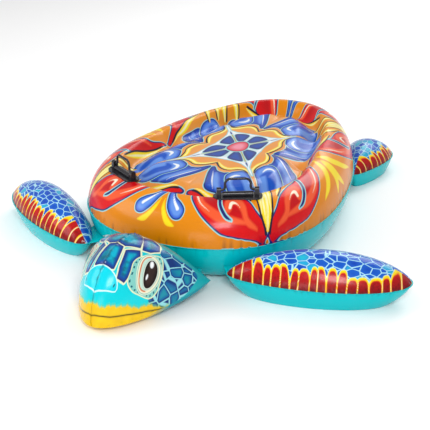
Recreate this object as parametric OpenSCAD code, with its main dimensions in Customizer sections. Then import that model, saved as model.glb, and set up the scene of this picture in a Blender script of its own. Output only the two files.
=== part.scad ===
// Inflatable ride-on pool float in the shape of a sea turtle.
// Every air chamber is a pair of thin vinyl sheets welded at a seam.
// +Z is up, the head points along -Y, and the origin is under the middle of the shell.

/* [Shell] */
// Width of the shell across its seam, halfway along
shell_w = 940; // [900:10:980]
// Length of the shell along its seam
shell_l = 1440; // [1380:10:1500]
// Height of the shell's seam above the ground
seam_z = 150; // [140:1:160]
// Height of the outer ring's crest
ring_top = 296; // [280:1:310]
// Height of the tufted valley inside the outer ring
valley_z = 238; // [225:1:250]
// Height of the seat cushion in the middle
seat_z = 274; // [262:1:278]
// Distance from the seam in to the ring's crest
crest_in = 125; // [110:1:135]
// Distance from the seam in to the valley
valley_in = 186; // [175:1:200]

/* [Head] */
// Length of the head from nose to neck weld
head_l = 390; // [370:5:400]
// Width of the head across its rear corners
head_w = 480; // [440:10:500]
// Height of the head above its side seam
head_h = 213; // [190:1:220]

/* [Flippers] */
// Length of a front flipper
front_l = 640; // [600:5:660]
// Width of a front flipper
front_w = 212; // [190:2:216]
// Height of a front flipper's seam
front_z = 78; // [70:1:82]
// Height of a front flipper's crown above its seam
front_crown = 102; // [80:2:106]
// Length of a rear flipper
rear_l = 398; // [370:2:402]
// Width of a rear flipper, halfway along
rear_w = 196; // [170:2:200]
// Height of a rear flipper's seam
rear_z = 67; // [60:1:70]
// Height of a rear flipper's crown above its seam
rear_crown = 84; // [66:2:88]

/* [Handles] */
// Length of a handle's welded patch
patch_l = 178; // [160:2:190]
// Height of the grab loop above its pivots
loop_h = 42; // [34:1:48]
// Diameter of the grab loop
loop_d = 9; // [7:0.5:10]

/* [Sheet] */
// Thickness of the vinyl sheet
wall = 1.6; // [1.2:0.1:2.4]

/* [Hidden] */
$fn = 32;
SIDES = ["left", "right"];
ENDS = ["front", "rear"];
FLIPPERS = [for (e = ENDS, s = SIDES) str(e, "_", s)];
CHAMBERS = concat(["shell", "head"], FLIPPERS);
RING_WEBS = 8;
CROSS_WEBS = 4;

ORANGE = [0.93, 0.58, 0.02];
TEAL = [0.02, 0.74, 0.76];
CYAN = [0.05, 0.85, 0.88];
BLUE = [0.08, 0.37, 0.80];
BLACK = [0.04, 0.04, 0.05];
CLEAR = [0.86, 0.90, 0.92];

// The shell's outline is an egg-shaped superellipse, wider at the head end.
oval = 2.2;
egg = -0.22;
shell_sides = 64;
cap = 0.1;
seat_blend = 110;

function spow(v, e) = sign(v) * pow(abs(v), e);
function shell_edge(t) = [
    shell_w / 2 * spow(cos(t), 2 / oval) * (1 + egg * spow(sin(t), 2 / oval)),
    shell_l / 2 * spow(sin(t), 2 / oval)
];
function inset_edge(t, d) = shell_edge(t) * (1 - d / norm(shell_edge(t)));
function arc(u) = sqrt(max(0, 1 - u * u));
function ease(a, b, u) = a + (b - a) * (1 - cos(180 * min(max(u, 0), 1))) / 2;
function top_z(d) =
    d <= crest_in ? seam_z + (ring_top - seam_z) * arc(1 - d / crest_in) :
    d <= valley_in ? ease(ring_top, valley_z, (d - crest_in) / (valley_in - crest_in)) :
    ease(valley_z, seat_z, (d - valley_in) / seat_blend);
base_dip = 46;
function base_z(d) =
    d <= crest_in ? max(0, seam_z - (seam_z + 2) * arc(1 - d / crest_in)) :
    d <= valley_in ? ease(0, base_dip, (d - crest_in) / (valley_in - crest_in)) :
    ease(base_dip, 0, (d - valley_in) / seat_blend);

function sheet_z(d, top) = top ? top_z(d) : base_z(d);

// Distances in from the seam of the rings of points: on the outer ring, then on the seat's edge,
// then as fractions of the way to the middle.
ring_steps = concat(
    [for (a = [0:15:90]) crest_in * (1 - cos(a))],
    [for (i = [1:4]) crest_in + (valley_in - crest_in) * i / 4]
);
seat_steps = [for (i = [0:3]) valley_in + seat_blend * i / 3];
inner_steps = [0.45, 1];

// One ring of the shell's sheet, moved into the chamber by cut, square to the sheet's slope.
function shell_ring(d, top, cut) =
    let (slope = sheet_z(d + 0.5, top) - sheet_z(d - 0.5, top),
         step = (top ? cut : -cut) / sqrt(1 + slope * slope))
    [for (j = [0:shell_sides - 1])
        let (p = inset_edge(360 * j / shell_sides, d + step * slope))
        [p[0], p[1], sheet_z(d, top) - (d == 0 ? 0 : step)]];
function seat_ring(s, top, cut) = [
    for (j = [0:shell_sides - 1])
        let (t = 360 * j / shell_sides,
             f = 1 - (valley_in + seat_blend) / norm(shell_edge(t)),
             p = shell_edge(t) * (f * (1 - s) + cap * s))
        [p[0], p[1], top ? seat_z - cut : cut]
];
function ring_grid(top, cut) = [for (d = ring_steps) shell_ring(d, top, cut)];
function seat_grid(top, cut) = concat(
    [for (d = seat_steps) shell_ring(d, top, cut)],
    [for (s = inner_steps) seat_ring(s, top, cut)]
);

function flat(rows) = [for (r = rows, p = r) p];
function turned(f, flip) = flip ? [f[2], f[1], f[0]] : f;
function turned_cap(f, flip) = flip ? [for (j = [len(f) - 1:-1:0]) f[j]] : f;

// A thin skin from two stacks of closed rings that run inwards from the rim.
// A capped one closes over its last ring as a dome; the other is an open band.
module ring_skin(outer, inner, flip, capped = true) {
    m = len(outer);
    n = len(outer[0]);
    last = (m - 1) * n;
    half = m * n;
    polyhedron(
        points = flat(concat(outer, inner)),
        faces = concat(
            [for (i = [0:m - 2], j = [0:n - 1], k = [0, 1])
                let (a = i * n + j, b = i * n + (j + 1) % n)
                turned(k == 0 ? [a, a + n, b + n] : [a, b + n, b], flip)],
            [for (i = [0:m - 2], j = [0:n - 1], k = [0, 1])
                let (a = half + i * n + j, b = half + i * n + (j + 1) % n)
                turned(k == 0 ? [b + n, a + n, a] : [b, b + n, a], flip)],
            [for (j = [0:n - 1], k = [0, 1])
                let (a = j, b = (j + 1) % n)
                turned(k == 0 ? [a, b, half + b] : [a, half + b, half + a], flip)],
            capped ? [
                turned_cap([for (j = [n - 1:-1:0]) last + j], flip),
                turned_cap([for (j = [0:n - 1]) half + last + j], flip)
            ] : [
                for (j = [0:n - 1], k = [0, 1])
                    let (a = last + j, b = last + (j + 1) % n)
                    turned(k == 0 ? [half + b, b, a] : [half + b, a, half + a], flip)
            ]
        )
    );
}

// A thin open sheet from two grids of rows.
module sheet_skin(outer, inner) {
    m = len(outer);
    n = len(outer[0]);
    half = m * n;
    rim = concat(
        [for (j = [0:n - 1]) j],
        [for (i = [1:m - 1]) i * n + n - 1],
        [for (j = [n - 2:-1:0]) (m - 1) * n + j],
        [for (i = [m - 2:-1:1]) i * n]
    );
    polyhedron(
        points = flat(concat(outer, inner)),
        faces = concat(
            [for (i = [0:m - 2], j = [0:n - 2], k = [0, 1])
                let (a = i * n + j, b = a + 1)
                k == 0 ? [a, a + n, b + n] : [a, b + n, b]],
            [for (i = [0:m - 2], j = [0:n - 2], k = [0, 1])
                let (a = half + i * n + j, b = a + 1)
                k == 0 ? [b + n, a + n, a] : [b, b + n, a]],
            [for (q = [0:len(rim) - 1], k = [0, 1])
                let (a = rim[q], b = rim[(q + 1) % len(rim)])
                k == 0 ? [a, b, half + b] : [a, half + b, half + a]]
        )
    );
}

module shell_ring_panel() color(ORANGE)
    ring_skin(ring_grid(true, 0), ring_grid(true, wall), false, capped = false);

module shell_seat_panel() color(ORANGE)
    ring_skin(seat_grid(true, 0), seat_grid(true, wall), false);

module shell_base_panel() color(TEAL)
    ring_skin(ring_grid(false, 0), ring_grid(false, wall), true, capped = false);

module shell_belly_panel() color(TEAL)
    ring_skin(seat_grid(false, 0), seat_grid(false, wall), true);

// Straight webs inside the shell tie its two sheets together along the valley.
web_gap = 3;
web_reach = 0.86;
web_hole = 40;
// Tufts where the webs end: angle on the outline and distance in from it.
TUFTS = [
    [-2, 176],
    [40, 200],
    [90, 215],
    [140, 200],
    [182, 176],
    [223, 250],
    [270, 215],
    [317, 250]
];
function web_corner(i) = inset_edge(TUFTS[i % RING_WEBS][0], TUFTS[i % RING_WEBS][1]);

module web(p, q, low, high) {
    span = norm(q - p);
    translate((p + q) / 2)
        rotate([0, 0, atan2(q[1] - p[1], q[0] - p[0])])
            translate([0, wall / 2, low])
                rotate([90, 0, 0])
                    linear_extrude(wall)
                        difference() {
                            translate([-span * web_reach / 2, 0]) square([span * web_reach, high - low]);
                            for (x = [-span, span] / 4)
                                translate([x, (high - low) / 2]) circle(d = web_hole);
                        }
}

module ring_web(i) color(CLEAR)
    web(web_corner(i - 1), web_corner(i), base_dip + wall + web_gap, valley_z - wall - web_gap);

// Short webs run from the valley towards the middle and make the seat's creases.
CROSS_TUFTS = [0, 4, 1, 3];
cross_out = 0.86;
cross_in = 0.36;

module cross_web(i) color(CLEAR) {
    tuft = web_corner(CROSS_TUFTS[i - 1]);
    web(tuft * cross_out, tuft * cross_in, base_dip + wall + web_gap, valley_z - wall - web_gap);
}

// The head is a stack of half-ellipse sections from the nose to the neck weld.
head_rear = -745;
head_steps = 14;
head_turns = 9;
nose_cut = 0.002;
nose_z = 28;
neck_z = 65;
function head_seam(s) = nose_z + (neck_z - nose_z) * s * s;
function head_half(s) = head_w / 2 * pow(s, 0.55);
function head_rise(s) = head_h * arc(2 * s - 1);
function head_drop(s) = head_seam(s) * min(1.02, pow(4 * s * (1 - s), 0.4) * 1.06);
function head_at(i) = nose_cut + (1 - 2 * nose_cut) * (1 - cos(180 * i / head_steps)) / 2;
function head_y(s) = head_rear - head_l * (1 - s);

function cheek_row(i, side, cut) =
    let (s = head_at(i), w = head_half(s) - cut, h = head_rise(s) - cut)
    [for (j = [0:head_turns])
        let (a = 90 * j / head_turns, x = j == head_turns ? 0 : w * cos(a))
        [side * x, head_y(s), head_seam(s) + (j == 0 ? 0 : h * sin(a))]];
function reverse(rows) = [for (i = [len(rows) - 1:-1:0]) rows[i]];
function cheek(side, cut) = [for (i = [0:head_steps]) cheek_row(i, side, cut)];
function jaw_row(i, cut) =
    let (s = head_at(i), w = head_half(s) - cut, h = head_drop(s) - cut)
    [for (j = [0:2 * head_turns])
        let (a = 180 * j / (2 * head_turns), x = w * cos(a))
        [x, head_y(s), max(cut, head_seam(s) - h * pow(max(0, sin(a)), 0.7))]];
function jaw(cut) = [for (i = [0:head_steps]) jaw_row(i, cut)];

module head_left_panel() color(CYAN)
    sheet_skin(reverse(cheek(1, 0)), reverse(cheek(1, wall)));

module head_right_panel() color(CYAN)
    sheet_skin(cheek(-1, 0), cheek(-1, wall));

module head_base_panel() color(TEAL)
    sheet_skin(jaw(0), jaw(wall));

// Flat welded flanges join the head and flippers to the shell's underside.
flange_gap = 3;
flange_in = 16;
neck_half = 196;

module neck_flange() color(TEAL)
    translate([0, 0, neck_z])
        linear_extrude(wall)
            polygon(concat(
                [[-neck_half, head_rear + flange_gap], [neck_half, head_rear + flange_gap]],
                [for (t = [-74:-4:-106]) inset_edge(t, flange_in)]
            ));

// A flipper is an oval pad with a flat belly where it lies on the ground.
// The two front flippers lie at slightly different angles, as soft parts do.
front_place = [
    [shell_w / 2 + 110, -0.4056 * shell_l, 0],
    [shell_w / 2 + 90, -0.3736 * shell_l, 0]
];
front_turn = [20, 33];
rear_place = [shell_w / 2 - 118, 0.4194 * shell_l, 0];
rear_turn = 95;
front_egg = 0.18;
rear_egg = 0.5;
belly = 150;
pad_sides = 32;
pad_power = 0.7;
pad_rings = [1, 0.98, 0.93, 0.85, 0.72, 0.55, 0.35, 0.12];

function pad_point(l, w, fat, r, a) = [l / 2 * r * cos(a), w / 2 * r * sin(a) * (1 + fat * r * cos(a))];
function pad_ring(l, w, fat, r, z0, h, cut, low) = [
    for (j = [0:pad_sides - 1])
        let (p = pad_point(l - 2 * cut, w - 2 * cut, fat, r, 360 * j / pad_sides),
             z = z0 + h * pow(1 - r * r, pad_power) - (r == 1 ? 0 : sign(h) * cut))
        [p[0], p[1], max(low, z)]
];
function pad(l, w, fat, z0, h, cut, low) = [for (r = pad_rings) pad_ring(l, w, fat, r, z0, h, cut, low)];

module pad_top(l, w, fat, z0, crown)
    ring_skin(pad(l, w, fat, z0, crown, 0, 0), pad(l, w, fat, z0, crown, wall, 0), false);

module pad_base(l, w, fat, z0)
    ring_skin(pad(l, w, fat, z0, -belly, 0, 0), pad(l, w, fat, z0, -belly, wall, wall), true);

function is_front(f) = f < 2;
function side_of(f) = f % 2 == 0 ? 1 : -1;
function place_of(f) = is_front(f) ? front_place[f] : rear_place;
function turn_of(f) = is_front(f) ? front_turn[f] : rear_turn;

// Places a child drawn for the left flipper on either side.
module at_flipper(f)
    mirror([side_of(f) > 0 ? 0 : 1, 0, 0])
        translate(place_of(f)) rotate([0, 0, turn_of(f)]) children();

module flipper_top(f) color(BLUE)
    at_flipper(f)
        if (is_front(f)) pad_top(front_l, front_w, front_egg, front_z, front_crown);
        else pad_top(rear_l, rear_w, rear_egg, rear_z, rear_crown);

module flipper_base(f) color(TEAL)
    at_flipper(f)
        if (is_front(f)) pad_base(front_l, front_w, front_egg, front_z);
        else pad_base(rear_l, rear_w, rear_egg, rear_z);

// A point just outside a flipper's seam, in the left side's frame.
function pad_edge(f, l, w, fat, a) =
    let (p = pad_point(l + 2 * flange_gap, w + 2 * flange_gap, fat, 1, a), u = turn_of(f))
    [place_of(f)[0] + p[0] * cos(u) - p[1] * sin(u), place_of(f)[1] + p[0] * sin(u) + p[1] * cos(u)];

module flipper_flange(f) color(TEAL)
    mirror([side_of(f) > 0 ? 0 : 1, 0, 0])
        if (is_front(f))
            translate([0, 0, front_z - wall / 2])
                linear_extrude(wall)
                    polygon(concat(
                        [for (a = [128:9:182]) pad_edge(f, front_l, front_w, front_egg, a)],
                        [for (t = [-66:5:-51]) inset_edge(t, flange_in)]
                    ));
        else
            translate([0, 0, rear_z - wall / 2])
                linear_extrude(wall)
                    polygon(concat(
                        [for (a = [152:9:188]) pad_edge(f, rear_l, rear_w, rear_egg, a)],
                        [for (t = [27:4:35]) inset_edge(t, flange_in + 4)]
                    ));

// Grab handles: a ribbed patch, a thick grip bar, two end lugs and a loop that pivots in them.
handle_x = 237;
handle_y = -517;
handle_turn = 30;
patch_w = 58;
patch_t = 7;
grip_d = 20;
grip_half = 55;
lug_start = 60;
lug_l = 16;
lug_d = 20;
pivot_z = 25;
pivot_play = 0.06;
foot_bend = 12;
top_bend = 20;
loop_half = 46;
rib_pitch = 6;

module at_handle(s)
    translate([s * handle_x, handle_y, ring_top])
        rotate([0, 0, s * handle_turn])
            children();

module handle_patch(s) color(BLACK)
    at_handle(s) {
        translate([0, 0, 3 - patch_t])
            linear_extrude(patch_t)
                for (x = [-1, 1])
                    translate([x * (patch_l - patch_w) / 2, 0]) circle(d = patch_w);
        translate([-(patch_l - patch_w) / 2, -patch_w / 2, 3 - patch_t])
            cube([patch_l - patch_w, patch_w, patch_t]);
        for (x = [-1, 1], i = [0:1])
            translate([x * (patch_l / 2 - 3 - i * rib_pitch) - 1.2, -patch_w / 5, 3])
                cube([2.4, 2 * patch_w / 5, 1.5]);
    }

module handle_grip(s) color(BLACK)
    at_handle(s)
        translate([-grip_half, 0, 3 + grip_d / 2 - 4])
            rotate([0, 90, 0])
                difference() {
                    cylinder(d = grip_d, h = 2 * grip_half);
                    translate([grip_d / 2 - 4, -grip_d, -1]) cube([grip_d, 2 * grip_d, 2 * grip_half + 2]);
                }

module handle_lug(s, e) color(BLACK)
    at_handle(s)
        mirror([e > 0 ? 0 : 1, 0, 0])
            difference() {
                union() {
                    translate([lug_start, 0, pivot_z]) rotate([0, 90, 0]) cylinder(d = lug_d, h = lug_l);
                    translate([lug_start, -lug_d / 2, 3]) cube([lug_l, lug_d, pivot_z - 3]);
                }
                translate([lug_start - 1, 0, pivot_z])
                    rotate([0, 90, 0])
                        cylinder(d = loop_d + 2 * pivot_play, h = lug_l - 3);
            }

// The loop: pins in the lugs, foot bends, legs, top bends and a straight top.
module handle_loop(s) color(BLACK)
    at_handle(s)
        translate([0, 0, pivot_z])
            for (e = [0, 1])
                mirror([e, 0, 0]) {
                    translate([loop_half + foot_bend, 0, 0]) rotate([0, 90, 0]) cylinder(d = loop_d, h = 12);
                    translate([loop_half + foot_bend, 0, foot_bend])
                        rotate([90, 0, 0])
                            rotate([0, 0, 180])
                                rotate_extrude(angle = 90)
                                    translate([foot_bend, 0]) circle(d = loop_d);
                    translate([loop_half, 0, foot_bend])
                        cylinder(d = loop_d, h = loop_h - foot_bend - top_bend);
                    translate([loop_half - top_bend, 0, loop_h - top_bend])
                        rotate([90, 0, 0])
                            rotate_extrude(angle = 90)
                                translate([top_bend, 0]) circle(d = loop_d);
                    translate([0, 0, loop_h])
                        rotate([0, 90, 0])
                            cylinder(d = loop_d, h = loop_half - top_bend);
                }

// Inflation valves: a moulded body, a flap inside it and a push-in plug.
valve_flange = 36;
valve_d = 19;
valve_bore = 14;
valve_port = 8;
valve_h = 17;
valve_floor = 3;
flap_z = 7;
seat_start = flap_z + 1.2;
seat_end = seat_start + 1.4;
plug_play = 0.05;

// Where each chamber's valve stands, and how it leans from +Z.
function valve_pos(c) =
    c == 0 ? [0, shell_l / 2 - 5.4, seam_z - 44] :
    c == 1 ? [-149, head_rear - 40, 153] :
    is_front(c - 2) ? [30, front_w / 2 - 4, front_z - 26] :
    [rear_l / 2 - 8, 0, rear_z - 25];
function valve_tip(c) = c == 1 ? [0, 43, 122] : c == 0 || is_front(c - 2) ? [-104, 0, 0] : [0, 115, 0];

module at_valve(c)
    if (c < 2) translate(valve_pos(c)) rotate(valve_tip(c)) children();
    else at_flipper(c - 2) translate(valve_pos(c)) rotate(valve_tip(c)) children();

module valve_body(c) color(CLEAR)
    at_valve(c)
        difference() {
            union() {
                translate([0, 0, -1.5]) cylinder(d = valve_flange, h = 3);
                cylinder(d = valve_d, h = valve_h);
            }
            translate([0, 0, -2]) cylinder(d = valve_port, h = valve_h);
            translate([0, 0, valve_floor]) cylinder(d = valve_bore, h = seat_start - valve_floor);
            translate([0, 0, seat_end]) cylinder(d = valve_bore, h = valve_h);
        }

module valve_flap(c) color(CLEAR)
    at_valve(c)
        translate([0, 0, flap_z]) cylinder(d = valve_bore - 2, h = 1);

module valve_plug(c) color(CLEAR)
    at_valve(c) {
        translate([0, 0, valve_h - 7]) cylinder(d = valve_bore - 2 * plug_play, h = 7.1);
        translate([0, 0, valve_h + 0.1]) cylinder(d = valve_d, h = 2.4);
        translate([-3, valve_d / 2 - 1, valve_h + 0.1]) cube([6, 7, 1.6]);
    }

shell_ring_panel();
shell_seat_panel();
shell_base_panel();
shell_belly_panel();
for (i = [1:RING_WEBS]) ring_web(i);
for (i = [1:CROSS_WEBS]) cross_web(i);
head_left_panel();
head_right_panel();
head_base_panel();
neck_flange();
for (f = [0:3]) flipper_top(f);
for (f = [0:3]) flipper_base(f);
for (f = [0:3]) flipper_flange(f);
for (s = [0, 1]) handle_patch(1 - 2 * s);
for (s = [0, 1]) handle_grip(1 - 2 * s);
for (s = [0, 1], e = [0, 1])
    handle_lug(1 - 2 * s, (2 * e - 1) * (1 - 2 * s));
for (s = [0, 1]) handle_loop(1 - 2 * s);
for (c = [0:5]) valve_body(c);
for (c = [0:5]) valve_flap(c);
for (c = [0:5]) valve_plug(c);
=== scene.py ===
"""Looks of a ride-on inflatable turtle float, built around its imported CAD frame. Lengths are in metres."""
import math

import bpy
import numpy as np
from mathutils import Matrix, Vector


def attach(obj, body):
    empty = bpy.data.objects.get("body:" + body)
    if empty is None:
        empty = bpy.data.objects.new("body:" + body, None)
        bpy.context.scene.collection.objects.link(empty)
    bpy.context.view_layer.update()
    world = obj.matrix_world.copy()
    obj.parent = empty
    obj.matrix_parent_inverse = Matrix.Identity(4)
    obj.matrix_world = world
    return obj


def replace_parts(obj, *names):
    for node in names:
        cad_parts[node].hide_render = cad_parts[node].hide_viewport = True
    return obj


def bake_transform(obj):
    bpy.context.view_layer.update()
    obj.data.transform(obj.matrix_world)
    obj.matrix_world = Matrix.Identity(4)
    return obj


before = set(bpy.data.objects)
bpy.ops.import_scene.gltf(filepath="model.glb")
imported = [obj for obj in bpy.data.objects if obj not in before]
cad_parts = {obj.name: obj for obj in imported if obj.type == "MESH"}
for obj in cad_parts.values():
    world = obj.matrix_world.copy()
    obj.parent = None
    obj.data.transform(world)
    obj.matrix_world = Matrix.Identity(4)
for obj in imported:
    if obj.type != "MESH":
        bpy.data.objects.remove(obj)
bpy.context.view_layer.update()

MM = 0.001
# A distance greater than any on the object, where a field has nothing to show.
FAR = 9.0
rng = np.random.default_rng(7)


# ---------------- colours

# Share of each ink's full brightness, so that it matches under the studio's bright light.
INK_DEPTH = 0.84


def srgb(red, green, blue):
    """A linear RGBA ink from 0 to 255 display values, deepened by INK_DEPTH."""
    def linear(v):
        v /= 255
        return (v / 12.92 if v <= 0.04045 else ((v + 0.055) / 1.055) ** 2.4) * INK_DEPTH
    return (linear(red), linear(green), linear(blue), 1.0)


ORANGE = srgb(240, 146, 0)
AMBER = srgb(206, 112, 4)
PEACH = srgb(246, 184, 128)
CREAM = srgb(252, 240, 214)
WHITE = srgb(246, 250, 252)
PALE = srgb(152, 218, 222)
NAVY = srgb(30, 38, 112)
DARK = srgb(34, 26, 52)
BLUE = srgb(8, 82, 196)
SKY = srgb(104, 152, 234)
RED = srgb(222, 8, 16)
CORAL = srgb(246, 92, 48)
YELLOW = srgb(253, 228, 26)
GOLD = srgb(250, 196, 14)
AQUA = srgb(0, 214, 224)
DEEP = srgb(18, 150, 166)


# ---------------- curves and signed distances

def spow(value, power):
    """A power that keeps its value's sign."""
    return np.sign(value) * np.abs(value) ** power


def ease(a, b, u):
    """Smoothly from a to b as u runs from 0 to 1."""
    return a + (b - a) * (1 - np.cos(np.pi * np.clip(u, 0, 1))) / 2


def smooth(points, closed, steps=6):
    """A Catmull-Rom curve through given points."""
    p = np.array(points, float)
    n = len(p)
    spans = n if closed else n - 1
    out = []
    for i in range(spans):
        ids = [(i + k) % n if closed else min(max(i + k, 0), n - 1) for k in (-1, 0, 1, 2)]
        a, b, c, d = p[ids]
        for t in np.arange(steps) / steps:
            out.append(0.5 * (2 * b + (c - a) * t + (2 * a - 5 * b + 4 * c - d) * t * t
                              + (3 * b - a - 3 * c + d) * t ** 3))
    if not closed:
        out.append(p[-1])
    return np.array(out)


def stroke(xy, points, width, steps=5):
    """Distance to a tapered brush stroke: rows of (x, y, share of the width)."""
    line = smooth(points, False, steps)
    best = np.full(len(xy), FAR)
    for a, b in zip(line[:-1], line[1:]):
        ab = b[:2] - a[:2]
        t = np.clip((xy - a[:2]) @ ab / max(ab @ ab, 1e-12), 0, 1)
        gap = np.hypot(*(xy - a[:2] - t[:, None] * ab).T)
        best = np.minimum(best, gap - width * (a[2] + (b[2] - a[2]) * t))
    return best


def area(xy, points, steps=5, curved=True):
    """Signed distance to a closed shape, negative inside."""
    line = smooth(points, True, steps) if curved else np.array(points, float)
    best = np.full(len(xy), FAR)
    inside = np.zeros(len(xy), bool)
    for a, b in zip(line, np.roll(line, -1, 0)):
        ab = b - a
        t = np.clip((xy - a) @ ab / max(ab @ ab, 1e-12), 0, 1)
        best = np.minimum(best, np.hypot(*(xy - a - t[:, None] * ab).T))
        crosses = (a[1] > xy[:, 1]) != (b[1] > xy[:, 1])
        with np.errstate(divide="ignore", invalid="ignore"):
            at = a[0] + (xy[:, 1] - a[1]) * ab[0] / (ab[1] if ab[1] else 1e-12)
        inside ^= crosses & (xy[:, 0] < at)
    return np.where(inside, -best, best)


def ellipse(xy, centre, half, turn):
    """Approximate signed distance to a turned ellipse."""
    c, s = math.cos(turn), math.sin(turn)
    v = xy - np.array(centre)
    u = np.stack([v[:, 0] * c + v[:, 1] * s, v[:, 1] * c - v[:, 0] * s], 1)
    k = np.hypot(u[:, 0] / half[0], u[:, 1] / half[1])
    return (k - 1) * np.hypot(*u.T) / np.maximum(k, 1e-6)


# ---------------- meshes

def grid_faces(rows, cols, wrap):
    """Quads over a grid of rows and columns; wrap joins the last column to the first."""
    i, j = np.meshgrid(np.arange(rows - 1), np.arange(cols if wrap else cols - 1), indexing="ij")
    k = (j + 1) % cols
    return np.stack([i * cols + j, i * cols + k, (i + 1) * cols + k, (i + 1) * cols + j], -1).reshape(-1, 4)


def grid_normals(co, wrap):
    """Unit normals of a grid of points."""
    along = np.gradient(co, axis=0)
    if wrap:
        across = (np.roll(co, -1, 1) - np.roll(co, 1, 1)) / 2
    else:
        across = np.gradient(co, axis=1)
    n = np.cross(across, along)
    return n / np.maximum(np.linalg.norm(n, axis=-1, keepdims=True), 1e-12)


def mesh_piece(name, co, faces, material, fields=None):
    """A smooth-shaded mesh object, with one named point attribute for each field."""
    mesh = bpy.data.meshes.new(name)
    mesh.from_pydata(co.reshape(-1, 3).tolist(), [], [list(f) for f in faces])
    mesh.polygons.foreach_set("use_smooth", [True] * len(mesh.polygons))
    for key, values in (fields or {}).items():
        values = np.asarray(values, np.float32)
        kind = "FLOAT_VECTOR" if values.ndim == 2 else "FLOAT"
        layer = mesh.attributes.new(key, kind, "POINT")
        layer.data.foreach_set("vector" if values.ndim == 2 else "value", values.ravel())
    mesh.update()
    piece = bpy.data.objects.new(name, mesh)
    bpy.context.scene.collection.objects.link(piece)
    mesh.materials.append(material)
    return piece


def loop_lengths(edge):
    """Distance along a closed outline at each of its points, and at its end."""
    return np.concatenate([[0], np.cumsum(np.hypot(*np.diff(np.vstack([edge, edge[:1]]), axis=0).T))])


def puckers(along, away, length, pitch, depth, reach, width):
    """Depth of the gathers along a welded seam; along and away are distances, length closes the loop."""
    out = np.zeros_like(along)
    count = int(length / pitch)
    starts = (np.arange(count) + rng.uniform(-0.35, 0.35, count)) * length / count
    for start in starts:
        size = depth * rng.uniform(0.25, 1.0)
        long_reach = reach * rng.uniform(0.45, 1.2)
        wide = width * rng.uniform(0.7, 1.4)
        gap = np.abs(along - start)
        gap = np.minimum(gap, length - gap)
        out += size * np.exp(-(gap / wide) ** 2) * np.exp(-(away / long_reach) ** 2)
    return out


# ---------------- materials

class Paint:
    """A vinyl sheet's material: print laid over a ground, with thresholds on distance fields."""

    def __init__(self, name, ground):
        self.material = bpy.data.materials.new(name)
        self.material.use_nodes = True
        self.tree = self.material.node_tree
        self.shader = self.tree.nodes["Principled BSDF"]
        self.fields = {}
        self.place = self.node("ShaderNodeTexCoord").outputs["Object"]
        self.colour = self.mottle(ground)

    def node(self, kind, **inputs):
        """A new node with its input sockets set or linked."""
        n = self.tree.nodes.new(kind)
        for key, value in inputs.items():
            self.put(n.inputs[key], value)
        return n

    def put(self, socket, value):
        if isinstance(value, bpy.types.NodeSocket):
            self.tree.links.new(value, socket)
        else:
            socket.default_value = value

    def noise(self, scale, detail=3.0, rough=0.55):
        return self.node("ShaderNodeTexNoise", Vector=self.place, Scale=scale, Detail=detail,
                         Roughness=rough).outputs["Fac"]

    def math(self, operation, *values):
        n = self.tree.nodes.new("ShaderNodeMath")
        n.operation = operation
        for socket, value in zip(n.inputs, values):
            self.put(socket, value)
        return n.outputs[0]

    def vector(self, name):
        """A vector attribute of the mesh."""
        n = self.node("ShaderNodeAttribute")
        n.attribute_name = name
        return n.outputs["Vector"]

    def field(self, name):
        """A distance attribute of the mesh, looked up once."""
        if name not in self.fields:
            n = self.tree.nodes.new("ShaderNodeAttribute")
            n.attribute_name = name
            self.fields[name] = n.outputs["Fac"]
        return self.fields[name]

    def mix(self, factor, under, over):
        n = self.tree.nodes.new("ShaderNodeMix")
        n.data_type = "RGBA"
        self.put(n.inputs["Factor"], factor)
        self.put(n.inputs["A"], under)
        self.put(n.inputs["B"], over)
        return n.outputs["Result"]

    def tint(self, factor, strength, colour):
        """Lays colour over the print so far, by a share of factor."""
        self.colour = self.mix(self.math("MULTIPLY", factor, strength), self.colour, colour)

    def mottle(self, colour):
        """Slight unevenness of printed ink."""
        cloud = self.math("MULTIPLY", self.noise(9.0), 0.22)
        darker = tuple(c * 0.82 for c in colour[:3]) + (1.0,)
        return self.mix(cloud, colour, darker)

    def step(self, source, edge, soft=0.8 * MM):
        """1 where source is below edge."""
        n = self.node("ShaderNodeMapRange", Value=source)
        n.inputs["From Min"].default_value = edge + soft
        n.inputs["From Max"].default_value = edge - soft
        return n.outputs["Result"]

    def over(self, name, edge, colour, soft=0.8 * MM, strength=1.0):
        """Lays colour where the field is below edge."""
        factor = self.step(self.field(name), edge, soft)
        if strength < 1:
            factor = self.math("MULTIPLY", factor, strength)
        self.colour = self.mix(factor, self.colour, colour)

    def pleated(self, shade=0.55):
        """Darkens the bottom of each gather along the seams, where light doesn't reach."""
        depth = self.node("ShaderNodeMapRange", Value=self.field("pleat"))
        depth.inputs["From Min"].default_value = 0.8 * MM
        depth.inputs["From Max"].default_value = 3.4 * MM
        self.tint(depth.outputs["Result"], shade, srgb(30, 26, 40))
        return self

    def finish(self, rough=0.2, coat=0.09, grain=0.00012, wobble=0.0006):
        """Gloss, fine grain and the sheet's slight waviness."""
        fine = self.noise(1400.0, 2.0)
        broad = self.noise(26.0, 2.0)
        first = self.node("ShaderNodeBump", Height=fine, Distance=grain, Strength=0.35)
        second = self.node("ShaderNodeBump", Height=broad, Distance=wobble, Strength=0.6,
                           Normal=first.outputs["Normal"])
        streaks = self.node("ShaderNodeMapRange", Value=self.noise(55.0, 4.0))
        streaks.inputs["To Min"].default_value = rough - 0.05
        streaks.inputs["To Max"].default_value = rough + 0.1
        self.put(self.shader.inputs["Base Color"], self.colour)
        self.put(self.shader.inputs["Roughness"], streaks.outputs["Result"])
        self.put(self.shader.inputs["Normal"], second.outputs["Normal"])
        self.shader.inputs["Coat Weight"].default_value = coat
        self.shader.inputs["Coat Roughness"].default_value = 0.09
        self.shader.inputs["IOR"].default_value = 1.45
        self.shader.inputs["Specular IOR Level"].default_value = 0.24
        return self.material


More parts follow.
